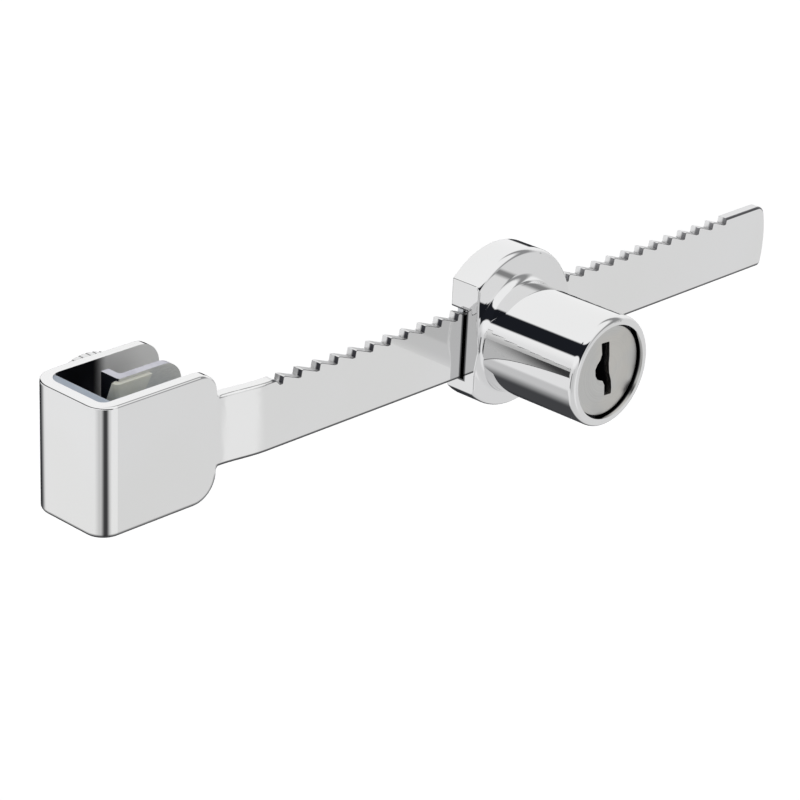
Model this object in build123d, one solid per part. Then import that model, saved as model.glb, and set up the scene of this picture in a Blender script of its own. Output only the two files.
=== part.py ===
from build123d import *
import math
import os

os.makedirs("parts", exist_ok=True)

# Ratchet lock for a pair of sliding glass doors: a toothed strip whose end is
# bent into a clamp for the glass edge, and a cylinder lock that slides on it.
# Millimetres.  +X runs along the strip from the clamp to its free end, +Y runs
# back through the glass, +Z is up.  The origin lies on the clamp liner's front
# pad, where the glass's front face rests, level with the lock cylinder's axis.
#
# The pieces are drawn about the lock axis (x = 0, z = 0) with the strip's front
# face at y = 0, and are shifted to the origin as they are written.

ORIGIN_X = -74.8            # origin seen from the lock axis, along the strip
ORIGIN_Y = 3.5              # glass front face behind the strip's front face
SHIFT = Pos(-ORIGIN_X, -ORIGIN_Y, 0)

# ---------------------------------------------------------------- strip
STRIP_T = 2.0               # sheet thickness
STRIP_TOP = 5.8             # tooth tips and plain top edge
STRIP_BOTTOM = -6.2         # 12 mm wide strip
STRIP_END = 72.65           # free end
PITCH = 4.0                 # tooth pitch
TEETH = 29
TOOTH_X0 = -51.6            # first tooth's tip
TOOTH_DEPTH = 1.1
TOOTH_TIP_FLAT = 0.4
TOOTH_RAMP_END = 3.3        # where the ramp reaches the root, from the tip
TOOTH_RAKE = 0.2            # lean of the steep face

# ---------------------------------------------------------------- clamp head
HEAD_X0 = -87.9             # outer face of the end wall
HEAD_X1 = -64.5             # right edge of the front flange
BACK_X1 = -63.0             # right edge of the back flange
HEAD_Y0 = 1.0               # outer face of the front flange
HEAD_Y1 = 18.4              # outer face of the back flange
HEAD_Z0 = -11.5
HEAD_Z1 = 10.1
BEND_R = 3.3                # outer bend radius, front
BEND_BACK_R = 4.9           # outer bend radius, back
CORNER_TOP = 3.6
CORNER_BOTTOM = 4.7
CORNER_BACK = 4.0
JOGGLE_X1 = -55.0           # where the strip has stepped 1 mm forward

EDGE_R = 0.45               # rolled edge of the stamping's outer skin
TOOTH_EDGE_R = 0.1

LINER_T = 1.8               # liner against the end wall
LINER_FRONT_T = 0.5         # liner against the front flange

SCREW_X = -72.5             # clamp screw axis
SCREW_Z = -0.6
SCREW_PITCH = 0.8
SCREW_R = 2.45
NUT_BORE_R = 2.5
KNOB_R = 8.6
KNOB_Y0 = 20.6
KNOB_Y1 = 23.6

JAW_X0 = -78.0
JAW_X1 = -65.3
JAW_Y0 = 8.6
JAW_T = 1.5
JAW_LEG_Y1 = 12.7
PAD_T = 0.8

# ---------------------------------------------------------------- lock body
BARREL_R = 9.6
BARREL_Y = -23.74           # front rim
FLANGE_R = 13.9
FLANGE_Z = 1.2              # flange centre above the barrel axis
FLANGE_Y0 = -2.8
FLANGE_Y1 = 3.3
FLAT_X = 10.0               # the one flat, on the clamp side
BASE_FILLET = 1.4
SLOT_Z0 = -6.35
SLOT_Z1 = 6.05
SLOT_Y0 = -0.4
SLOT_Y1 = 2.1

PLATE_R = 12.7
PLATE_X = 8.3
PLATE_SCREWS = [(6.2, 9.7), (-6.2, 9.7), (6.2, -7.5), (-6.2, -7.5)]

PLUG_HEAD_R = 7.9
PLUG_HEAD_BORE = 7.95
PLUG_R = 6.0
PLUG_BORE = 6.05
PLUG_FACE_Y = -22.75        # the plug's face sits 1 mm inside the rim
PLUG_SHOULDER_Y = -20.7
PLUG_END_Y = -5.4
RECESS_R = 8.15             # recess in the rim, open round the plug's face
RECESS_Y = -22.2
KEYWAY_Y = -19.3            # depth of the full keyhole outline

CAM_R = 6.2
CAM_BORE = 6.5
CAM_Y0 = -5.2
CAM_Y1 = -2.8
PAWL_DROP = 1.1             # drop of the pawl over a quarter turn
PIN_R = 0.8
PIN_Z = 4.6
PAWL_X = 4.4
POCKET_X = 4.6
POCKET_TOP = 12.6

WAFER_Y = [-18.6, -16.1, -13.6, -11.1, -8.6]
WAFER_T = 1.0
WAFER_X = 2.2
WAFER_Z = 5.5


def box(x0, x1, y0, y1, z0, z1):
    return Pos((x0 + x1) / 2, (y0 + y1) / 2, (z0 + z1) / 2) * Box(x1 - x0, y1 - y0, z1 - z0)


def rod(r, y0, y1, x=0.0, z=0.0):
    # cylinder along Y
    return Pos(x, (y0 + y1) / 2, z) * Rot(90, 0, 0) * Cylinder(r, y1 - y0)


def tube(r_out, r_in, y0, y1, x=0.0, z=0.0):
    return rod(r_out, y0, y1, x, z) - rod(r_in, y0 - 1, y1 + 1, x, z)


def plate_xz(face, y0, y1):
    # a face drawn as (x, z), made solid from y0 to y1
    return extrude(Pos(0, y0, 0) * Rot(90, 0, 0) * face, -(y1 - y0))


def poly_xz(points, y0, y1):
    return plate_xz(make_face(Polyline(*points, close=True)), y0, y1)


def as_parts(shape):
    solids = shape.solids()
    return solids[0] if len(solids) == 1 else Compound(list(solids))


def coil(radius, wire, pitch, height):
    path = Helix(pitch=pitch, height=height, radius=radius)
    profile = Plane(origin=path @ 0, z_dir=path % 0) * Circle(wire)
    return sweep(profile, path=path, is_frenet=True)


NODES = {}

# ================================================================ strip and clamp head
# Side view of the front: the rounded flange narrows straight into the strip.
flange_face = make_face(Polyline((HEAD_X0, HEAD_Z0), (HEAD_X1, HEAD_Z0), (HEAD_X1, HEAD_Z1), (HEAD_X0, HEAD_Z1), close=True))
outline = [(HEAD_X1 - 8, STRIP_BOTTOM), (STRIP_END + 4, STRIP_BOTTOM), (STRIP_END + 4, STRIP_TOP)]
last = TOOTH_X0 + PITCH * (TEETH - 1)
root = STRIP_TOP - TOOTH_DEPTH
top = []
for n in range(TEETH):
    x = TOOTH_X0 + PITCH * n
    if n == 0:
        top += [(x - 1.9, STRIP_TOP), (x - 0.75, root), (x - TOOTH_RAKE, root)]
    else:
        top += [(x - PITCH + TOOTH_RAMP_END, root), (x - TOOTH_RAKE, root)]
    top += [(x, STRIP_TOP)]
    if n < TEETH - 1:
        top += [(x + TOOTH_TIP_FLAT, STRIP_TOP)]
outline += list(reversed(top)) + [(HEAD_X1 - 8, STRIP_TOP)]
strip_face = make_face(Polyline(*outline, close=True))
# free end: one large arc with small corners
end_r = 21.0
end_disc = Pos(STRIP_END - end_r, -1.2) * Circle(end_r)
strip_face = strip_face & (end_disc + Pos(STRIP_END - 6 - 130, 0) * Rectangle(260, 40))
side = flange_face + strip_face


def vertex_near(shape, x, y, tol=0.25):
    vs = [v for v in shape.vertices() if abs(v.X - x) < tol and abs(v.Y - y) < tol]
    return vs


side = fillet(vertex_near(side, HEAD_X1, HEAD_Z1), CORNER_TOP)
side = fillet(vertex_near(side, HEAD_X1, HEAD_Z0), CORNER_BOTTOM)
side = fillet(vertex_near(side, HEAD_X1, STRIP_TOP), 0.6)
side = fillet(vertex_near(side, HEAD_X1, STRIP_BOTTOM), 0.5)
ends = sorted([v for v in side.vertices() if v.X > STRIP_END - 1.6], key=lambda v: v.Y)
if len(ends) >= 2:
    side = fillet([ends[-1]], 2.2)
    ends = sorted([v for v in side.vertices() if v.X > STRIP_END - 1.6], key=lambda v: v.Y)
    side = fillet([ends[0]], 1.0)

# Top view: front flange, step of the strip towards the front, straight strip
front_top = make_face(
    [
        Line((HEAD_X0 + 0.0, HEAD_Y0), (HEAD_X1, HEAD_Y0)),
        Spline((HEAD_X1, HEAD_Y0), (JOGGLE_X1, 0), tangents=((1, 0), (1, 0)), tangent_scalars=(1.0, 1.0)),
        Line((JOGGLE_X1, 0), (STRIP_END + 5, 0)),
        Line((STRIP_END + 5, 0), (STRIP_END + 5, STRIP_T)),
        Line((STRIP_END + 5, STRIP_T), (JOGGLE_X1, STRIP_T)),
        Spline((JOGGLE_X1, STRIP_T), (HEAD_X1, HEAD_Y0 + STRIP_T), tangents=((-1, 0), (-1, 0)), tangent_scalars=(1.0, 1.0)),
        Line((HEAD_X1, HEAD_Y0 + STRIP_T), (HEAD_X0, HEAD_Y0 + STRIP_T)),
        Line((HEAD_X0, HEAD_Y0 + STRIP_T), (HEAD_X0, HEAD_Y0)),
    ]
)
front = extrude(Pos(0, 0, HEAD_Z0 - 1) * front_top, HEAD_Z1 - HEAD_Z0 + 2) & plate_xz(side, -3, 8)

# end wall and back flange
wall = box(HEAD_X0, HEAD_X0 + STRIP_T, HEAD_Y0, HEAD_Y1, HEAD_Z0, HEAD_Z1)
back_face = make_face(Polyline((HEAD_X0, HEAD_Z0), (BACK_X1, HEAD_Z0), (BACK_X1, HEAD_Z1), (HEAD_X0, HEAD_Z1), close=True))
back_face = fillet(vertex_near(back_face, BACK_X1, HEAD_Z1) + vertex_near(back_face, BACK_X1, HEAD_Z0), CORNER_BACK)
back = plate_xz(back_face, HEAD_Y1 - STRIP_T, HEAD_Y1)
bracket = front + wall + back
for yy, r in ((HEAD_Y0 + STRIP_T, BEND_R), (HEAD_Y1 - STRIP_T, BEND_BACK_R)):
    edges = [e for e in bracket.edges().filter_by(Axis.Z) if abs(e.center().X - (HEAD_X0 + STRIP_T)) < 0.05 and abs(e.center().Y - yy) < 0.05]
    bracket = fillet(edges, r - STRIP_T)
for yy, r in ((HEAD_Y0, BEND_R), (HEAD_Y1, BEND_BACK_R)):
    edges = [e for e in bracket.edges().filter_by(Axis.Z) if abs(e.center().X - HEAD_X0) < 0.05 and abs(e.center().Y - yy) < 0.05]
    bracket = fillet(edges, r)


# rounded edges: the whole outline of the sheet's outer skin, then the teeth
def along(edge, n=5):
    return [edge @ (k / (n - 1)) for k in range(n)]


def on_skin(p, tol=0.02):
    if abs(p.X - HEAD_X0) < tol:
        return True
    for cy, r, way in ((HEAD_Y0 + BEND_R, BEND_R, -1), (HEAD_Y1 - BEND_BACK_R, BEND_BACK_R, 1)):
        if p.X < HEAD_X0 + r and (p.Y - cy) * way > 0:
            return abs(math.hypot(p.X - HEAD_X0 - r, p.Y - cy) - r) < tol
    return (p.X <= HEAD_X1 + tol and abs(p.Y - HEAD_Y0) < tol) or (p.X <= BACK_X1 + tol and abs(p.Y - HEAD_Y1) < tol)


def upright(edge, tol=0.02):
    return abs((edge @ 0).X - (edge @ 1).X) < tol and abs((edge @ 0).Y - (edge @ 1).Y) < tol


def seam(edge, tol=0.02):
    # where the flat flange runs on into the step, and the bends' ends
    at_step = abs((edge @ 0).X - HEAD_X1) < tol and abs((edge @ 0).Y - HEAD_Y0) < tol and abs((edge @ 0).Z - (edge @ 1).Z) > 5
    return upright(edge) and (at_step or (edge @ 0).X < HEAD_X0 + BEND_BACK_R + 0.1)


skin_edges = [e for e in bracket.edges() if all(on_skin(p) for p in along(e)) and not seam(e)]
bracket = fillet(skin_edges, EDGE_R)
tooth_edges = [
    e for e in bracket.edges()
    if all(p.X > TOOTH_X0 - 2.0 and abs(p.Y) < 0.02 and p.Z > STRIP_TOP - TOOTH_DEPTH - 0.05 for p in along(e))
    and all(p.X < last + 0.05 for p in along(e))
]
bracket = fillet(tooth_edges, TOOTH_EDGE_R)
bracket -= rod(3.2, HEAD_Y1 - STRIP_T - 0.5, HEAD_Y1 + 0.5, SCREW_X, SCREW_Z)
NODES["ratchet_bracket"] = bracket

# nylon liner in the clamp: end pad and thin front pad
inner_x = HEAD_X0 + STRIP_T
inner_y = HEAD_Y0 + STRIP_T
liner = box(inner_x, inner_x + LINER_T, inner_y, HEAD_Y1 - STRIP_T - 0.4, HEAD_Z0 + 0.2, HEAD_Z1 - 0.2)
hollow = box(inner_x, HEAD_X1, inner_y, HEAD_Y1 - STRIP_T, HEAD_Z0, HEAD_Z1)
for yy, r in ((inner_y, 1.4), (HEAD_Y1 - STRIP_T, BEND_BACK_R - STRIP_T + 0.05)):
    hollow = fillet([e for e in hollow.edges().filter_by(Axis.Z) if e.center().X < inner_x + 0.05 and abs(e.center().Y - yy) < 0.05], r)
liner &= hollow
front_pad = make_face(Polyline((inner_x + 1.5, HEAD_Z0 + 1.2), (HEAD_X1 - 0.8, HEAD_Z0 + 1.2), (HEAD_X1 - 0.8, HEAD_Z1 - 1.2), (inner_x + 1.5, HEAD_Z1 - 1.2), close=True))
front_pad = fillet(vertex_near(front_pad, HEAD_X1 - 0.8, HEAD_Z1 - 1.2) + vertex_near(front_pad, HEAD_X1 - 0.8, HEAD_Z0 + 1.2), 4.0)
liner += plate_xz(front_pad, inner_y, inner_y + LINER_FRONT_T)
NODES["clamp_liner"] = liner

# clinch nut in the back flange
hexa = Rot(0, 0, 30) * RegularPolygon(4.2, 6)
nut = plate_xz(Pos(SCREW_X, SCREW_Z) * hexa, HEAD_Y1 - STRIP_T - 1.1, HEAD_Y1 - STRIP_T) + rod(3.2, HEAD_Y1 - STRIP_T - 0.3, HEAD_Y1, SCREW_X, SCREW_Z)
nut -= rod(NUT_BORE_R, 10, 25, SCREW_X, SCREW_Z)
NODES["clinch_nut"] = nut

# clamp jaw: plate with one leg bent back
jaw_face = make_face(Polyline((JAW_X0, HEAD_Z0 + 0.3), (JAW_X1, HEAD_Z0 + 0.3), (JAW_X1, HEAD_Z1 - 0.15), (JAW_X0, HEAD_Z1 - 0.15), close=True))
jaw_face = fillet(vertex_near(jaw_face, JAW_X1, HEAD_Z1 - 0.15) + vertex_near(jaw_face, JAW_X1, HEAD_Z0 + 0.3), 3.6)
jaw = plate_xz(jaw_face, JAW_Y0, JAW_Y0 + JAW_T)
jaw += box(JAW_X0, JAW_X0 + JAW_T, JAW_Y0, JAW_LEG_Y1, HEAD_Z0 + 0.3, HEAD_Z1 - 0.15)
edges = [e for e in jaw.edges().filter_by(Axis.Z) if abs(e.center().X - (JAW_X0 + JAW_T)) < 0.05 and abs(e.center().Y - (JAW_Y0 + JAW_T)) < 0.05]
jaw = fillet(edges, 0.5)
edges = [e for e in jaw.edges().filter_by(Axis.Z) if abs(e.center().X - JAW_X0) < 0.05 and abs(e.center().Y - JAW_Y0) < 0.05]
jaw = fillet(edges, 0.6)
jaw -= rod(1.56, 0, 14, SCREW_X, SCREW_Z)
NODES["clamp_jaw"] = jaw

# pad on the jaw: notched clear of the clip, lapped round the jaw's left edge
pz0, pz1 = HEAD_Z0 + 0.8, HEAD_Z1 - 0.6
pad = poly_xz([(JAW_X0 - 1.0, pz0), (-71.9, pz0), (-76.3, pz0 + 6.8), (-76.3, pz1 - 6.8), (-71.9, pz1), (JAW_X0 - 1.0, pz1)], JAW_Y0 - PAD_T, JAW_Y0)
lap = make_face(Polyline((JAW_Y0 - 0.2, pz0), (9.0, pz0), (11.0, pz0 + 5.0), (11.0, pz1 - 5.0), (9.0, pz1), (JAW_Y0 - 0.2, pz1), close=True))
lap = extrude(Plane(origin=(JAW_X0 - 1.0, 0, 0), x_dir=(0, 1, 0), z_dir=(1, 0, 0)) * lap, 1.0)
pad += lap
corner = box(JAW_X0 - 0.5, JAW_X0 + 0.6, JAW_Y0 - 0.2, JAW_Y0 + 0.6, pz0, pz1)
pad += corner - NODES["clamp_jaw"]
edges = [e for e in pad.edges().filter_by(Axis.Z) if abs(e.center().X - (JAW_X0 - 1.0)) < 0.05 and abs(e.center().Y - (JAW_Y0 - PAD_T)) < 0.05]
pad = fillet(edges, 0.7)
NODES["jaw_pad"] = pad

# clamp screw with knurled head
knob = rod(KNOB_R, KNOB_Y0, KNOB_Y1, SCREW_X, SCREW_Z)
knob = chamfer(knob.edges().filter_by(GeomType.CIRCLE), 0.45)
screw = knob + rod(4.0, KNOB_Y0 - 0.45, KNOB_Y0 + 0.1, SCREW_X, SCREW_Z)
screw += rod(SCREW_R, 10.65, KNOB_Y0, SCREW_X, SCREW_Z)
for i in range(11):
    y = 11.2 + i * SCREW_PITCH
    screw -= tube(SCREW_R + 0.5, SCREW_R - 0.3, y, y + 0.35, SCREW_X, SCREW_Z)
screw += rod(1.5, 7.95, 10.7, SCREW_X, SCREW_Z)
screw -= tube(2.0, 1.2, 8.05, 8.55, SCREW_X, SCREW_Z)
for i in range(40):
    a = 2 * math.pi * i / 40
    screw -= rod(0.34, KNOB_Y0 - 1, KNOB_Y1 + 1, SCREW_X + (KNOB_R + 0.08) * math.cos(a), SCREW_Z + (KNOB_R + 0.08) * math.sin(a))
screw -= box(SCREW_X - 6.0, SCREW_X + 6.0, KNOB_Y1 - 1.1, KNOB_Y1 + 1, SCREW_Z - 0.75, SCREW_Z + 0.75)
screw -= rod(6.4, KNOB_Y1 - 0.4, KNOB_Y1 + 1, SCREW_X, SCREW_Z)
NODES["clamp_screw"] = screw

NODES["screw_retaining_clip"] = tube(2.8, 1.2, 8.05, 8.5, SCREW_X, SCREW_Z) - box(SCREW_X - 0.8, SCREW_X + 0.8, 7, 9, SCREW_Z - 4, SCREW_Z - 0.6)
NODES["thrust_washer"] = tube(3.4, 1.56, JAW_Y0 + JAW_T, JAW_Y0 + JAW_T + 0.5, SCREW_X, SCREW_Z)

# ================================================================ lock body
housing = rod(FLANGE_R, FLANGE_Y0, FLANGE_Y1, 0, FLANGE_Z)
front_edge = [e for e in housing.edges().filter_by(GeomType.CIRCLE) if abs(e.center().Y - FLANGE_Y0) < 0.05]
housing = fillet(front_edge, 0.9)
back_edge = [e for e in housing.edges().filter_by(GeomType.CIRCLE) if abs(e.center().Y - FLANGE_Y1) < 0.05]
housing = fillet(back_edge, 0.3)
barrel = rod(BARREL_R, BARREL_Y, 0)
rim_edge = [e for e in barrel.edges().filter_by(GeomType.CIRCLE) if abs(e.center().Y - BARREL_Y) < 0.05]
barrel = fillet(rim_edge, 0.95)
housing += barrel
base_edge = [e for e in housing.edges().filter_by(GeomType.CIRCLE) if abs(e.center().Y - FLANGE_Y0) < 0.05 and abs(e.radius - BARREL_R) < 0.05]
housing = fillet(base_edge, BASE_FILLET)
housing &= box(-FLAT_X, 20, BARREL_Y - 1, FLANGE_Y1 + 1, -20, 20)
flat_edges = [e for e in housing.edges() if all(abs(p.X + FLAT_X) < 0.01 for p in along(e)) and e.center().Y < FLANGE_Y1 - 0.3]
housing = fillet(flat_edges, 0.3)
# bores: plug head, plug body, cam
housing -= rod(RECESS_R, BARREL_Y - 1, RECESS_Y)
housing -= rod(PLUG_HEAD_BORE, BARREL_Y - 1, PLUG_SHOULDER_Y)
housing -= rod(PLUG_BORE, PLUG_SHOULDER_Y - 1, PLUG_END_Y + 0.5)
housing -= rod(CAM_BORE, PLUG_END_Y, SLOT_Y1)
# grooves that the wafers spring into, in both resting positions of the plug
g0, g1 = WAFER_Y[0] - 0.9, WAFER_Y[-1] + 0.9
for s in (1, -1):
    housing -= box(-2.6, 2.6, g0, g1, min(s * 4.5, s * 6.8), max(s * 4.5, s * 6.8))
    housing -= box(min(s * 4.5, s * 6.8), max(s * 4.5, s * 6.8), g0, g1, -2.6, 2.6)
# pawl pocket, strip slot, recess for the back plate
housing -= box(-POCKET_X, POCKET_X, -2.6, SLOT_Y1, 0, POCKET_TOP)
housing -= box(-20, 20, SLOT_Y0, SLOT_Y1, SLOT_Z0, SLOT_Z1)
for s in (1, -1):
    housing -= box(min(s * (PLATE_X - 0.2), s * 20), max(s * (PLATE_X - 0.2), s * 20), SLOT_Y0, FLANGE_Y1 + 1, SLOT_Z0, SLOT_Z1)
plate_outline = (Pos(0, FLANGE_Z) * Circle(PLATE_R)) & Rectangle(2 * PLATE_X, 60)
housing -= plate_xz(plate_outline, SLOT_Y1, FLANGE_Y1 + 1)
for x, z in PLATE_SCREWS:
    housing -= rod(0.9, -1.6, FLANGE_Y1, x, z)
NODES["lock_housing"] = housing

plate_edge = (Pos(0, FLANGE_Z) * Circle(PLATE_R - 0.05)) & Rectangle(2 * PLATE_X - 0.1, 60)
plate = plate_xz(plate_edge, SLOT_Y1, FLANGE_Y1)
for x, z in PLATE_SCREWS:
    plate -= rod(1.0, 0, 5, x, z)
    plate -= Pos(x, FLANGE_Y1 - 0.5, z) * Rot(-90, 0, 0) * Cone(1.0, 2.0, 1.0)
NODES["back_plate"] = plate

screws = []
for x, z in PLATE_SCREWS:
    s = rod(0.9, -1.5, FLANGE_Y1 - 0.95, x, z) + Pos(x, FLANGE_Y1 - 0.55, z) * Rot(-90, 0, 0) * Cone(0.98, 1.88, 0.9)
    s -= box(x - 0.2, x + 0.2, FLANGE_Y1 - 0.6, FLANGE_Y1 + 1, z - 1.0, z + 1.0)
    s -= box(x - 1.0, x + 1.0, FLANGE_Y1 - 0.6, FLANGE_Y1 + 1, z - 0.2, z + 0.2)
    screws.append(s)
NODES["back_plate_screws"] = Compound([as_parts(s) for s in screws])

# ---------------------------------------------------------------- plug
plug = rod(PLUG_HEAD_R, PLUG_FACE_Y, PLUG_SHOULDER_Y)
face_edge = [e for e in plug.edges().filter_by(GeomType.CIRCLE) if abs(e.center().Y - PLUG_FACE_Y) < 0.05]
plug = fillet(face_edge, 0.2)
plug += rod(PLUG_R, PLUG_SHOULDER_Y, PLUG_END_Y)
plug += box(-2.0, 2.0, PLUG_END_Y - 0.5, CAM_Y1, -2.0, 2.0)
key_outline = [
    (-1.75, 5.25), (0.25, 5.1), (0.55, 2.6), (0.55, 1.0), (0.85, -0.7), (1.45, -2.2), (1.7, -3.6), (1.7, -4.6),
    (-0.05, -4.5), (-0.2, -2.6), (-0.75, -1.7), (-2.1, -1.15), (-2.7, -0.3), (-2.85, 0.85), (-2.45, 1.6), (-1.75, 2.3), (-1.4, 3.2),
]
keyway_wire = Polyline(*key_outline, close=True)
keyway_face = make_face(keyway_wire)
keyway_face = fillet(keyway_face.vertices(), 0.16)
plug -= plate_xz(keyway_face, PLUG_FACE_Y - 1, KEYWAY_Y)
plug -= box(-0.7, 0.7, KEYWAY_Y - 0.1, -7.0, -4.2, 4.2)
for y in WAFER_Y:
    plug -= box(-WAFER_X - 0.08, WAFER_X + 0.08, y - WAFER_T / 2 - 0.08, y + WAFER_T / 2 + 0.08, -8, 8)
    plug -= box(WAFER_X, 3.95, y - WAFER_T / 2 - 0.08, y + WAFER_T / 2 + 0.08, -3.3, 3.3)
plug -= rod(1.0, -7.0, 0)
NODES["lock_plug"] = plug

wafer_dirs = [1, -1, 1, -1, 1]
springs = []
for i, (y, d) in enumerate(zip(WAFER_Y, wafer_dirs)):
    w = box(-WAFER_X, WAFER_X, y - WAFER_T / 2, y + WAFER_T / 2, -WAFER_Z, WAFER_Z)
    w += box(WAFER_X - 0.1, 3.8, y - WAFER_T / 2, y + WAFER_T / 2, min(0.6 * d, 2.0 * d), max(0.6 * d, 2.0 * d))
    lift = [0.3, -0.2, 0.1, -0.4, 0.2][i]
    w -= box(-1.0, 1.0, y - 1, y + 1, -3.0 + lift, 3.0 + lift)
    NODES["wafer_%d" % (i + 1)] = w
    c = coil(0.34, 0.15, 0.55, 3.3)
    c = Pos(3.0, y, -3.3 + 0.2 if d > 0 else -0.2) * c
    springs.append(c)
NODES["wafer_springs"] = Compound([as_parts(s) for s in springs])

# ---------------------------------------------------------------- cam, pawl
cam = rod(CAM_R, CAM_Y0, CAM_Y1)
steps = 12
half = PIN_R + 0.12
outer, inner = [], []
for k in range(-2, steps + 3):
    phi = math.radians(90.0 * k / steps)
    r = PIN_Z - PAWL_DROP * k / steps
    outer.append((-(r + half) * math.sin(phi), (r + half) * math.cos(phi)))
    inner.append((-(r - half) * math.sin(phi), (r - half) * math.cos(phi)))
slot = make_face([Spline(*outer), Line(outer[-1], inner[-1]), Spline(*reversed(inner)), Line(inner[0], outer[0])])
cam -= plate_xz(slot, CAM_Y0 - 1, CAM_Y1 + 1)
cam -= box(-2.0, 2.0, CAM_Y0 - 1, CAM_Y1 + 1, -2.0, 2.0)
NODES["lock_cam"] = cam
NODES["cam_washer"] = tube(2.5, 1.05, CAM_Y1, CAM_Y1 + 0.4)
cam_screw = rod(1.0, -6.9, CAM_Y1 + 0.5) + rod(2.1, CAM_Y1 + 0.4, CAM_Y1 + 1.6)
cam_screw -= box(-2.5, 2.5, CAM_Y1 + 1.1, CAM_Y1 + 3, -0.25, 0.25)
NODES["cam_screw"] = cam_screw

toe_y0, toe_y1 = 0.05, 1.9
pawl = box(-PAWL_X, PAWL_X, -2.4, toe_y1, 7.3, 10.4)
pawl += box(-PAWL_X, PAWL_X, -2.4, -0.3, 3.6, 7.4)
for xr in (0.0, 4.0):
    pawl += poly_xz([(xr, 7.4), (xr, 6.15), (xr - 0.8, 6.15), (xr - 3.7, 7.25), (xr - 3.7, 7.4)], toe_y0, toe_y1)
for x in (-2.5, 2.5):
    pawl -= Pos(x, -0.3, 8.4 + 2) * Cylinder(1.25, 4)
pawl -= rod(PIN_R, -5, 0.5, 0, PIN_Z)
NODES["pawl"] = pawl
NODES["pawl_drive_pin"] = rod(PIN_R, -4.9, -0.35, 0, PIN_Z)
coils = []
for x in (-2.5, 2.5):
    coils.append(Pos(x, -0.3, 8.4 + 0.16) * coil(0.85, 0.15, 0.62, POCKET_TOP - 8.4 - 0.32))
NODES["pawl_springs"] = Compound([as_parts(c) for c in coils])

# ---------------------------------------------------------------- write
for name, shape in NODES.items():
    shape = as_parts(shape)
    solids = [SHIFT * solid for solid in shape.solids()]
    export_step(solids[0] if len(solids) == 1 else Compound(solids), "parts/%s.step" % name)
    print(name, "%.1f" % shape.volume)
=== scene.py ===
import math

import bpy
from mathutils import Matrix, Vector

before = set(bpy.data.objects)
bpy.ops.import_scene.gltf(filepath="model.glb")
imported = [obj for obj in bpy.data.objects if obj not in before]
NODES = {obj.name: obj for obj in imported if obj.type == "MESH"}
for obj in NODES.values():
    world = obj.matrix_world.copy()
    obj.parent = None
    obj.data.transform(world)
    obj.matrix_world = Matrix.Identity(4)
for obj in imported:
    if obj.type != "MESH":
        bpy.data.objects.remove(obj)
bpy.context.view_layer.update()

# The lock's frame: +X along the strip, +Y back through the glass, +Z up, metres.
LOCK_X = 0.0748             # lock cylinder's axis
LOCK_Y = -0.0035            # front face of the strip

# ------------------------------------------------------------------ camera
EYE = Vector((-0.25069, -0.28513, 0.17755))
AZ, DOWN, ROLL = 0.818, 0.419, 0.047
forward = Vector((math.sin(AZ) * math.cos(DOWN), math.cos(AZ) * math.cos(DOWN), -math.sin(DOWN)))
right0 = Vector((math.cos(AZ), -math.sin(AZ), 0.0))
up0 = right0.cross(forward)
right = math.cos(ROLL) * right0 + math.sin(ROLL) * up0
up = -math.sin(ROLL) * right0 + math.cos(ROLL) * up0
cam_data = bpy.data.cameras.new("camera")
cam_data.sensor_fit = "HORIZONTAL"
cam_data.sensor_width = 36.0
cam_data.lens = 2744.791 / 800.0 * 36.0
cam_data.clip_start = 0.01
cam_data.clip_end = 20.0
cam = bpy.data.objects.new("camera", cam_data)
bpy.context.scene.collection.objects.link(cam)
cam.matrix_world = Matrix(
    (
        (right.x, up.x, -forward.x, EYE.x),
        (right.y, up.y, -forward.y, EYE.y),
        (right.z, up.z, -forward.z, EYE.z),
        (0, 0, 0, 1),
    )
)
bpy.context.scene.camera = cam
bpy.context.scene.view_settings.view_transform = "Standard"
bpy.context.scene.view_settings.look = "None"
bpy.context.scene.view_settings.exposure = 0.0
bpy.context.scene.view_settings.gamma = 1.0


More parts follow.
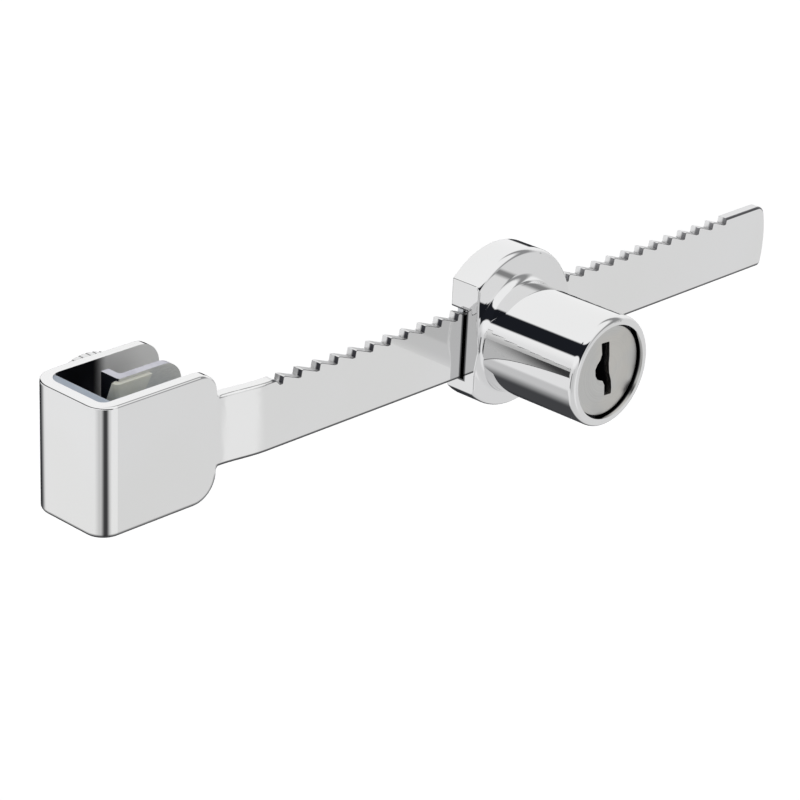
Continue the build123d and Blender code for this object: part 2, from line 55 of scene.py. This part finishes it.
# ------------------------------------------------------------------ node helpers
class Net:
    """Short calls for building a node tree."""

    def __init__(self, tree):
        self.t = tree
        self.x = 0

    def node(self, kind, **settings):
        n = self.t.nodes.new(kind)
        n.location = (self.x, 0)
        self.x += 40
        for k, v in settings.items():
            setattr(n, k, v)
        return n

    def put(self, socket, value):
        if hasattr(value, "is_output"):
            self.t.links.new(value, socket)
        elif hasattr(socket, "default_value"):
            try:
                socket.default_value = value
            except (TypeError, ValueError):
                socket.default_value = (*value, 1.0)

    def math(self, op, a, b=0.0, c=0.0, clamp=False):
        n = self.node("ShaderNodeMath", operation=op, use_clamp=clamp)
        for s, v in zip(n.inputs, (a, b, c)):
            self.put(s, v)
        return n.outputs[0]

    def vec(self, op, a, b=(0, 0, 0), scale=None):
        n = self.node("ShaderNodeVectorMath", operation=op)
        self.put(n.inputs[0], a)
        self.put(n.inputs[1], b)
        if scale is not None:
            self.put(n.inputs["Scale"], scale)
        return n.outputs["Value"] if op in ("DOT_PRODUCT", "LENGTH", "DISTANCE") else n.outputs["Vector"]

    def xyz(self, v):
        n = self.node("ShaderNodeSeparateXYZ")
        self.put(n.inputs[0], v)
        return n.outputs

    def join(self, x, y, z):
        n = self.node("ShaderNodeCombineXYZ")
        for s, v in zip(n.inputs, (x, y, z)):
            self.put(s, v)
        return n.outputs[0]

    def ramp(self, v, lo, hi, a=0.0, b=1.0, smooth=True):
        n = self.node("ShaderNodeMapRange", interpolation_type="SMOOTHSTEP" if smooth else "LINEAR", clamp=True)
        self.put(n.inputs["Value"], v)
        for name, value in (("From Min", lo), ("From Max", hi), ("To Min", a), ("To Max", b)):
            self.put(n.inputs[name], value)
        return n.outputs[0]

    def mix(self, fac, a, b):
        n = self.node("ShaderNodeMix", data_type="FLOAT", clamp_factor=True)
        self.put(n.inputs[0], fac)
        self.put(n.inputs[2], a)
        self.put(n.inputs[3], b)
        return n.outputs[0]

    def mixc(self, fac, a, b):
        n = self.node("ShaderNodeMix", data_type="RGBA", clamp_factor=True)
        self.put(n.inputs[0], fac)
        self.put(n.inputs[6], a if hasattr(a, "is_output") else (*a, 1.0))
        self.put(n.inputs[7], b if hasattr(b, "is_output") else (*b, 1.0))
        return n.outputs[2]

    def noise(self, v, scale, detail=2.0, rough=0.5, distortion=0.0):
        n = self.node("ShaderNodeTexNoise", noise_dimensions="3D")
        self.put(n.inputs["Vector"], v)
        n.inputs["Scale"].default_value = scale
        n.inputs["Detail"].default_value = detail
        n.inputs["Roughness"].default_value = rough
        n.inputs["Distortion"].default_value = distortion
        return n.outputs["Fac"]

    def bump(self, height, strength, distance, normal=None):
        n = self.node("ShaderNodeBump")
        self.put(n.inputs["Height"], height)
        n.inputs["Strength"].default_value = strength
        n.inputs["Distance"].default_value = distance
        if normal is not None:
            self.put(n.inputs["Normal"], normal)
        return n.outputs[0]


def material(name):
    m = bpy.data.materials.new(name)
    m.use_nodes = True
    m.node_tree.nodes.clear()
    net = Net(m.node_tree)
    shader = net.node("ShaderNodeBsdfPrincipled")
    out = net.node("ShaderNodeOutputMaterial")
    m.node_tree.links.new(shader.outputs[0], out.inputs["Surface"])
    return m, net, shader


def place(net):
    """The point in the frame, in metres: the nodes' objects all sit at the origin."""
    return net.node("ShaderNodeTexCoord").outputs["Object"]


# ------------------------------------------------------------------ studio
def aim(az, el):
    a, e = math.radians(az), math.radians(el)
    return (math.cos(a) * math.cos(e), math.sin(a) * math.cos(e), math.sin(e))


world = bpy.data.worlds.new("studio")
bpy.context.scene.world = world
world.use_nodes = True
world.node_tree.nodes.clear()
w = Net(world.node_tree)
ray = w.vec("NORMALIZE", w.node("ShaderNodeTexCoord").outputs["Generated"])


def disc(az, el, inner, outer):
    """1 within inner degrees of a direction, 0 beyond outer degrees."""
    return w.ramp(w.vec("DOT_PRODUCT", ray, aim(az, el)), math.cos(math.radians(outer)), math.cos(math.radians(inner)))


def ring(pole, offset, half, soft):
    """A band of the sky: near the circle on which ray . pole = offset."""
    p = Vector(pole).normalized()
    d = w.math("ABSOLUTE", w.math("SUBTRACT", w.vec("DOT_PRODUCT", ray, tuple(p)), offset))
    return w.ramp(d, math.sin(math.radians(half + soft)), math.sin(math.radians(max(half - soft, 0.1))))


height = w.xyz(ray)[2]
sky = w.ramp(height, -0.02, 0.30, 0.72, 1.0)
# overhead and rear soft box
sky = w.mix(disc(60, 38, 42, 75), sky, 1.0)
# pale table in front and at the left
sky = w.mix(disc(-40, -24, 22, 55), sky, 0.77)
sky = w.mix(disc(150, -22, 26, 46), sky, 0.88)
sky = w.mix(disc(-72, -24, 11, 19), sky, 0.90)
# the dark gap between the overhead and the left soft box
gap = w.math("MULTIPLY", ring((0.623, 0.026, 0.782), 0.104, 11.5, 1.6), disc(178, 26, 96, 104))
gap = w.math("MULTIPLY", gap, w.ramp(w.xyz(ray)[0], 0.30, 0.12))
sky = w.mix(gap, sky, 0.012)
# softer grey gap at the right
grey = w.math("MULTIPLY", ring((0.55, 0.62, -0.56), -0.12, 9.0, 6.0), disc(-25, 30, 40, 62))
sky = w.mix(grey, sky, 0.30)
# what the lock hangs over grows darker away from the table
sky = w.mix(disc(128, -42, 9, 15), sky, 0.62)
sky = w.mix(disc(70, -45, 20, 42), sky, 0.06)
# the far end of the table is dark, straight ahead and beside it
sky = w.mix(disc(41, -14, 13, 18), sky, 0.03)
sky = w.mix(disc(66, -27, 16, 21), sky, 0.03)
# grey room behind the photographer
sky = w.mix(disc(-138, -16, 16, 24), sky, 0.62)
background = w.node("ShaderNodeBackground")
w.put(background.inputs["Color"], w.join(sky, w.math("ADD", sky, 0.0015), w.math("ADD", sky, 0.006)))
background.inputs["Strength"].default_value = 1.0
world_out = w.node("ShaderNodeOutputWorld")
world.node_tree.links.new(background.outputs[0], world_out.inputs["Surface"])


def plane(name, centre, normal, width, depth, mat):
    n = Vector(normal).normalized()
    a = n.cross(Vector((0, 0, 1)))
    a = Vector((1, 0, 0)) if a.length < 1e-4 else a.normalized()
    b = n.cross(a)
    c = Vector(centre)
    pts = [c + a * sx * width / 2 + b * sy * depth / 2 for sx, sy in ((-1, -1), (1, -1), (1, 1), (-1, 1))]
    me = bpy.data.meshes.new(name)
    me.from_pydata([tuple(p) for p in pts], [], [(0, 1, 2, 3)])
    o = bpy.data.objects.new(name, me)
    bpy.context.scene.collection.objects.link(o)
    me.materials.append(mat)
    return o


floor_mat, net, shader = material("pale_floor")
tone = net.noise(place(net), 6.0, 3.0, 0.5)
net.put(shader.inputs["Base Color"], net.mixc(tone, (0.90, 0.90, 0.90), (0.93, 0.93, 0.93)))
shader.inputs["Roughness"].default_value = 0.9
shader.inputs["Specular IOR Level"].default_value = 0.2
shader.inputs["Emission Color"].default_value = (1, 1, 1, 1)
shader.inputs["Emission Strength"].default_value = 0.35
floor = plane("floor", (0.05, 0.05, -0.14), (0, 0, 1), 40.0, 40.0, floor_mat)
floor.visible_glossy = False

def card(name, start, az, el, distance, width, depth, tone):
    """Upright flag that only mirrors see, solid in the middle and thin at its sides."""
    d = Vector(aim(az, el))
    centre = Vector(start) + d * distance
    side = d.cross(Vector((0, 0, 1))).normalized()
    m = bpy.data.materials.new(name + "_cloth")
    m.use_nodes = True
    m.node_tree.nodes.clear()
    n = Net(m.node_tree)
    off = n.math("ABSOLUTE", n.math("SUBTRACT", n.vec("DOT_PRODUCT", place(n), tuple(side)), centre.dot(side)))
    solid = n.ramp(off, width * 0.5, width * 0.08)
    glow = n.node("ShaderNodeEmission")
    glow.inputs["Color"].default_value = (tone, tone, tone * 1.05, 1)
    clear = n.node("ShaderNodeBsdfTransparent")
    blend = n.node("ShaderNodeMixShader")
    n.put(blend.inputs[0], solid)
    m.node_tree.links.new(clear.outputs[0], blend.inputs[1])
    m.node_tree.links.new(glow.outputs[0], blend.inputs[2])
    out = n.node("ShaderNodeOutputMaterial")
    m.node_tree.links.new(blend.outputs[0], out.inputs["Surface"])
    o = plane(name, centre, -d, width, depth, m)
    o.visible_camera = False
    o.visible_diffuse = False
    o.visible_shadow = False
    o.visible_transmission = False
    return o


# narrow flag that the clamp's front left bend mirrors
card("flag_front", (-0.0098, -0.0022, 0.0), -121, -26, 0.06, 0.052, 0.06, 0.05)


# ------------------------------------------------------------------ materials
def chrome(name, colour, rough, wave=0.00002, marks=1.0, underside_shade=None, dark=None, finish_and_shade_masks=None):
    """Mirror chrome: soft waviness of the polished metal, fine polishing lines, faint haze.

    underside_shade: factor on the colour of faces turned downward, painted shade under the strip.
    dark: a mask, made from the place on the part, where shade is painted in near black.
    finish_and_shade_masks: masks of the stamping's faces, each with tone and roughness: duller teeth, and painted
    shade.
    """
    m, n, s = material(name)
    p = place(n)
    haze = n.noise(p, 260.0, 4.0, 0.6)
    blotch = n.noise(p, 55.0, 3.0, 0.5)
    tint = n.noise(p, 34.0, 2.0, 0.5)
    c0 = tuple(colour)
    c1 = (colour[0] * 0.985, colour[1] * 0.985, colour[2] * 0.975)
    col = n.mixc(n.ramp(tint, 0.35, 0.65), c0, c1)
    # painted shade: faces turned downward are darkened by this factor
    if underside_shade is not None:
        facing = n.xyz(n.node("ShaderNodeNewGeometry").outputs["True Normal"])[2]
        col = n.mixc(n.ramp(facing, -0.02, -0.16), col, tuple(c * underside_shade for c in colour))
    # painted shade: near black where the mask is
    if dark is not None:
        col = n.mixc(dark(n, p), col, (0.03, 0.031, 0.036))
    r = n.math("ADD", rough, n.math("MULTIPLY", n.ramp(haze, 0.45, 0.75), 0.035 * marks))
    r = n.math("ADD", r, n.math("MULTIPLY", n.ramp(blotch, 0.5, 0.8), 0.03 * marks))
    # tones from the mask list: duller teeth, and painted shade on chosen faces
    if finish_and_shade_masks is not None:
        for mask, tone, dull in finish_and_shade_masks(n, p):
            col = n.mixc(mask, col, tone)
            r = n.mix(mask, r, dull)
    n.put(s.inputs["Base Color"], col)
    s.inputs["Metallic"].default_value = 1.0
    n.put(s.inputs["Roughness"], r)
    waves = n.noise(p, 120.0, 1.0, 0.4)
    b = n.bump(waves, 1.0, wave)
    lines = n.noise(n.vec("MULTIPLY", p, (400.0, 3000.0, 9000.0)), 1.0, 2.0, 0.6)
    b = n.bump(lines, 0.25 * marks, 0.000002, b)
    n.put(s.inputs["Normal"], b)
    return m


def brushed(name, colour, rough, stretch, marks=1.0, metallic=1.0):
    """Plated or drawn steel with grain along one direction."""
    m, n, s = material(name)
    p = place(n)
    grain = n.noise(n.vec("MULTIPLY", p, stretch), 1.0, 4.0, 0.6)
    blotch = n.noise(p, 300.0, 3.0, 0.55)
    col = n.mixc(n.ramp(grain, 0.3, 0.7), tuple(c * 0.86 for c in colour), colour)
    col = n.mixc(n.ramp(blotch, 0.45, 0.8, 0.0, 0.35), col, tuple(c * 0.8 for c in colour))
    n.put(s.inputs["Base Color"], col)
    s.inputs["Metallic"].default_value = metallic
    n.put(s.inputs["Roughness"], n.math("ADD", rough, n.math("MULTIPLY", grain, 0.12 * marks)))
    n.put(s.inputs["Normal"], n.bump(grain, 0.5 * marks, 0.000006))
    return m


def nylon(name, colour, deep, rough=0.38):
    """Natural nylon: milky, slightly translucent, with a moulded skin."""
    m, n, s = material(name)
    p = place(n)
    cloud = n.noise(p, 180.0, 3.0, 0.5)
    skin = n.noise(p, 2600.0, 2.0, 0.5)
    n.put(s.inputs["Base Color"], n.mixc(n.ramp(cloud, 0.3, 0.7), colour, deep))
    n.put(s.inputs["Roughness"], n.math("ADD", rough, n.math("MULTIPLY", skin, 0.12)))
    s.inputs["Subsurface Weight"].default_value = 0.35
    s.inputs["Subsurface Radius"].default_value = (0.0012, 0.0011, 0.0009)
    s.inputs["Subsurface Scale"].default_value = 1.0
    s.inputs["Specular IOR Level"].default_value = 0.5
    n.put(s.inputs["Normal"], n.bump(skin, 0.35, 0.000012))
    return m


def turned(name, colour, rough):
    """Satin face with faint turning rings round the cylinder's axis, painted shade in the keyway and round the plug's
    rim.
    """
    m, n, s = material(name)
    p = place(n)
    x, y, z = n.xyz(p)
    dx = n.math("SUBTRACT", x, LOCK_X)
    radius = n.math("SQRT", n.math("ADD", n.math("MULTIPLY", dx, dx), n.math("MULTIPLY", z, z)))
    rings = n.noise(n.join(n.math("MULTIPLY", radius, 9000.0), n.math("MULTIPLY", y, 400.0), 0.0), 1.0, 3.0, 0.6)
    blotch = n.noise(p, 220.0, 3.0, 0.5)
    tint = n.noise(p, 120.0, 2.0, 0.5)
    col = n.mixc(n.ramp(rings, 0.3, 0.7), colour, tuple(c * 0.90 for c in colour))
    col = n.mixc(n.ramp(tint, 0.42, 0.62, 0.0, 0.5), col, (colour[0] * 1.03, colour[1] * 0.99, colour[2] * 0.93))
    col = n.mixc(n.ramp(blotch, 0.5, 0.8, 0.0, 0.4), col, tuple(c * 0.85 for c in colour))
    # painted shade: near black behind the face, down in the keyway, and out at the plug's rim
    inside = n.math("MAXIMUM", n.ramp(y, LOCK_Y - 0.0224, LOCK_Y - 0.0216), n.ramp(radius, 0.00772, 0.00784))
    col = n.mixc(inside, col, (0.035, 0.037, 0.045))
    n.put(s.inputs["Base Color"], col)
    s.inputs["Metallic"].default_value = 1.0
    n.put(s.inputs["Roughness"], n.mix(inside, n.math("ADD", rough, n.math("MULTIPLY", rings, 0.10)), 0.6))
    n.put(s.inputs["Normal"], n.bump(rings, 0.35, 0.000006))
    return m


def axis_radius(n, p):
    x, y, z = n.xyz(p)
    dx = n.math("SUBTRACT", x, LOCK_X)
    return n.math("SQRT", n.math("ADD", n.math("MULTIPLY", dx, dx), n.math("MULTIPLY", z, z))), y


def slot_and_bore_shade(n, p):
    """Painted shade on the housing: near black in the barrel's bore behind the rim, on the slot's walls and round its
    mouth.
    """
    radius, y = axis_radius(n, p)
    x, y, z = n.xyz(p)
    nx, ny, nz = n.xyz(n.node("ShaderNodeNewGeometry").outputs["True Normal"])
    # painted shade: near black in the barrel's bore, behind the rim
    bore = n.math("MULTIPLY", n.ramp(radius, 0.00822, 0.00816), n.ramp(y, LOCK_Y - 0.0234, LOCK_Y - 0.0231))
    # painted shade on the slot's walls: its front wall faces back, its ends face each other
    height = n.math("ABSOLUTE", n.math("ADD", z, 0.00015))
    within = n.math("MULTIPLY", n.ramp(height, 0.00624, 0.00621), n.ramp(y, LOCK_Y - 0.00042, LOCK_Y - 0.00038))
    wall = n.math("MULTIPLY", within, n.ramp(nx, -0.5, -0.3))
    # painted shadow line round the slot's mouth in the flat
    mouth = n.math("MULTIPLY", n.ramp(nx, -0.7, -0.9), n.ramp(height, 0.00655, 0.00640))
    mouth = n.math("MULTIPLY", mouth, n.ramp(y, LOCK_Y - 0.00085, LOCK_Y - 0.00055))
    mouth = n.math("MULTIPLY", mouth, n.ramp(n.math("SUBTRACT", LOCK_X, x), 0.0090, 0.0095))
    return n.math("MAXIMUM", bore, n.math("MAXIMUM", wall, n.math("MULTIPLY", mouth, 0.9)))


def sheared_and_painted_shade(n, p):
    """Duller teeth, the unpolished inner face of the back flange, and painted light and shade: on the steep tooth
    faces, dark outlines along the teeth, dark lines along the lower rims, and black at the clamp's left inside.
    """
    x, y, z = n.xyz(p)
    nx, ny, nz = n.xyz(n.node("ShaderNodeNewGeometry").outputs["True Normal"])
    side = n.math("ABSOLUTE", ny)
    tooth = n.math("MULTIPLY", n.ramp(z, 0.00463, 0.00468), n.ramp(x, 0.0205, 0.0210))
    teeth = n.math("MULTIPLY", tooth, n.ramp(side, 0.35, 0.15))
    steep = n.math("MULTIPLY", teeth, n.ramp(nx, -0.5, -0.8))
    # painted shade: a dark outline on the roundings along the teeth
    tooth_outline_shade = n.math("MULTIPLY", tooth, n.math("MULTIPLY", n.ramp(side, 0.10, 0.22), n.ramp(side, 0.995, 0.95)))
    inner = n.math("MULTIPLY", n.ramp(y, 0.0126, 0.0128), n.ramp(ny, -0.8, -0.95))
    # painted shade: near black on the left part of the back flange's inner face
    deep = n.math("MULTIPLY", inner, n.ramp(x, 0.0012, -0.0018))
    # painted shade: a dark line along the foot of the strip's front face, and a thinner one at its end
    front = n.math("MULTIPLY", n.ramp(ny, -0.5, -0.7), n.ramp(x, 0.0098, 0.0106))
    low = n.math("MULTIPLY", front, n.ramp(z, -0.00555, -0.00580))
    # the same painted dark line along the bottom of the clamp and round its lower corner
    cx = n.math("MAXIMUM", n.math("SUBTRACT", x, 0.0056), 0.0)
    cz = n.math("MINIMUM", n.math("ADD", z, 0.0068), 0.0)
    corner = n.math("SQRT", n.math("ADD", n.math("MULTIPLY", cx, cx), n.math("MULTIPLY", cz, cz)))
    skirt = n.math("MULTIPLY", n.ramp(corner, 0.00395, 0.00435), n.ramp(z, -0.0068, -0.0080))
    skirt = n.math("MULTIPLY", skirt, n.ramp(x, 0.0106, 0.0104))
    dx = n.math("SUBTRACT", x, 0.12645)
    dz = n.math("ADD", z, 0.0012)
    arc = n.math("SQRT", n.math("ADD", n.math("MULTIPLY", dx, dx), n.math("MULTIPLY", dz, dz)))
    end = n.math("MULTIPLY", n.math("MULTIPLY", front, n.ramp(x, 0.141, 0.142)), n.ramp(arc, 0.02080, 0.02090))
    near = n.ramp(y, LOCK_Y + 0.0011, LOCK_Y + 0.0007)
    # painted shade on the steep tooth faces: near black at the left, grey further right, and a painted highlight next
    # to the front face
    dark_steep = n.mixc(n.ramp(x, 0.06, 0.10), (0.07, 0.07, 0.08), (0.30, 0.30, 0.31))
    dark_steep = n.mixc(near, (0.90, 0.90, 0.90), dark_steep)
    return (
        (teeth, (0.80, 0.80, 0.80), 0.42),
        (steep, dark_steep, 0.36),
        (tooth_outline_shade, (0.16, 0.16, 0.17), 0.30),
        (n.math("MAXIMUM", low, end), (0.09, 0.09, 0.095), 0.35),
        (n.math("MULTIPLY", skirt, 0.85), (0.10, 0.10, 0.105), 0.35),
        (inner, (0.95, 0.95, 0.94), 0.75),
        (deep, (0.03, 0.03, 0.04), 0.35),
    )


def jaw_painted_light(name):
    """Jaw steel with painted light and shade by facing: near black sides and back, grey front, pale highlight on the
    top faces.
    """
    m, n, s = material(name)
    p = place(n)
    nx, ny, nz = n.xyz(n.node("ShaderNodeNewGeometry").outputs["True Normal"])
    grain = n.noise(n.vec("MULTIPLY", p, (900.0, 900.0, 5000.0)), 1.0, 4.0, 0.6)
    blotch = n.noise(p, 300.0, 3.0, 0.55)
    # painted light by facing: sides and back near black, front faces lit grey, top faces a pale painted highlight
    skin = n.mixc(n.ramp(grain, 0.3, 0.7), (0.016, 0.018, 0.026), (0.030, 0.032, 0.042))
    front_painted_tone = n.mixc(n.ramp(grain, 0.3, 0.7), (0.62, 0.62, 0.59), (0.70, 0.70, 0.66))
    top_painted_highlight = n.mixc(n.ramp(blotch, 0.35, 0.7), (0.62, 0.62, 0.68), (0.52, 0.52, 0.58))
    col = n.mixc(n.ramp(ny, -0.6, -0.9), skin, front_painted_tone)
    col = n.mixc(n.ramp(nz, 0.5, 0.8), col, top_painted_highlight)
    n.put(s.inputs["Base Color"], col)
    n.put(s.inputs["Metallic"], n.ramp(ny, -0.6, -0.9, 0.7, 0.1))
    n.put(s.inputs["Roughness"], n.math("ADD", 0.30, n.math("MULTIPLY", grain, 0.14)))
    n.put(s.inputs["Normal"], n.bump(grain, 0.5, 0.000006))
    return m


MATS = {
    # the strip: downward faces painted near black, and its mask list adds duller teeth and painted shade
    "ratchet_bracket": chrome("chrome_strip", (0.86, 0.86, 0.86), 0.045, 0.00001, 1.0, 0.08, None, sheared_and_painted_shade),
    # the housing: painted shade in its bore, in its slot and round the slot's mouth
    "lock_housing": chrome("chrome_housing", (0.83, 0.83, 0.835), 0.02, 0.000012, 0.6, None, slot_and_bore_shade),
    "clamp_screw": chrome("chrome_screw", (0.78, 0.78, 0.785), 0.08, 0.00001),
    "clamp_liner": nylon("nylon_liner", (0.40, 0.46, 0.54), (0.32, 0.38, 0.46)),
    "jaw_pad": nylon("nylon_pad", (0.80, 0.79, 0.70), (0.70, 0.70, 0.61)),
    "thrust_washer": nylon("nylon_washer", (0.80, 0.79, 0.72), (0.72, 0.71, 0.64)),
    "lock_plug": turned("satin_plug", (0.66, 0.66, 0.645), 0.30),
    "clamp_jaw": jaw_painted_light("jaw_steel"),
    "clinch_nut": brushed("zinc_nut", (0.62, 0.64, 0.66), 0.28, (900.0, 5000.0, 900.0)),
    "back_plate": brushed("zinc_plate", (0.66, 0.68, 0.70), 0.26, (500.0, 500.0, 6000.0)),
    "back_plate_screws": brushed("zinc_screws", (0.62, 0.64, 0.66), 0.25, (3000.0, 800.0, 3000.0)),
    "cam_washer": brushed("zinc_washer", (0.60, 0.62, 0.64), 0.28, (3000.0, 800.0, 3000.0)),
    "cam_screw": brushed("zinc_cam_screw", (0.60, 0.62, 0.64), 0.25, (3000.0, 800.0, 3000.0)),
    "lock_cam": brushed("cam_steel", (0.42, 0.43, 0.45), 0.34, (4000.0, 900.0, 900.0)),
    "pawl": brushed("pawl_steel", (0.38, 0.39, 0.41), 0.34, (900.0, 5000.0, 900.0)),
    "pawl_drive_pin": brushed("pin_steel", (0.55, 0.56, 0.58), 0.22, (5000.0, 500.0, 5000.0)),
    "screw_retaining_clip": brushed("clip_steel", (0.40, 0.41, 0.43), 0.30, (3000.0, 900.0, 3000.0)),
    "pawl_springs": brushed("pawl_spring_wire", (0.58, 0.58, 0.60), 0.25, (3000.0, 3000.0, 3000.0)),
    "wafer_springs": brushed("wafer_spring_wire", (0.58, 0.58, 0.60), 0.25, (3000.0, 3000.0, 3000.0)),
}
brass = brushed("wafer_brass", (0.72, 0.54, 0.24), 0.28, (5000.0, 900.0, 900.0))
for k in range(1, 6):
    MATS["wafer_%d" % k] = brass

for name, obj in NODES.items():
    obj.data.materials.clear()
    obj.data.materials.append(MATS[name])
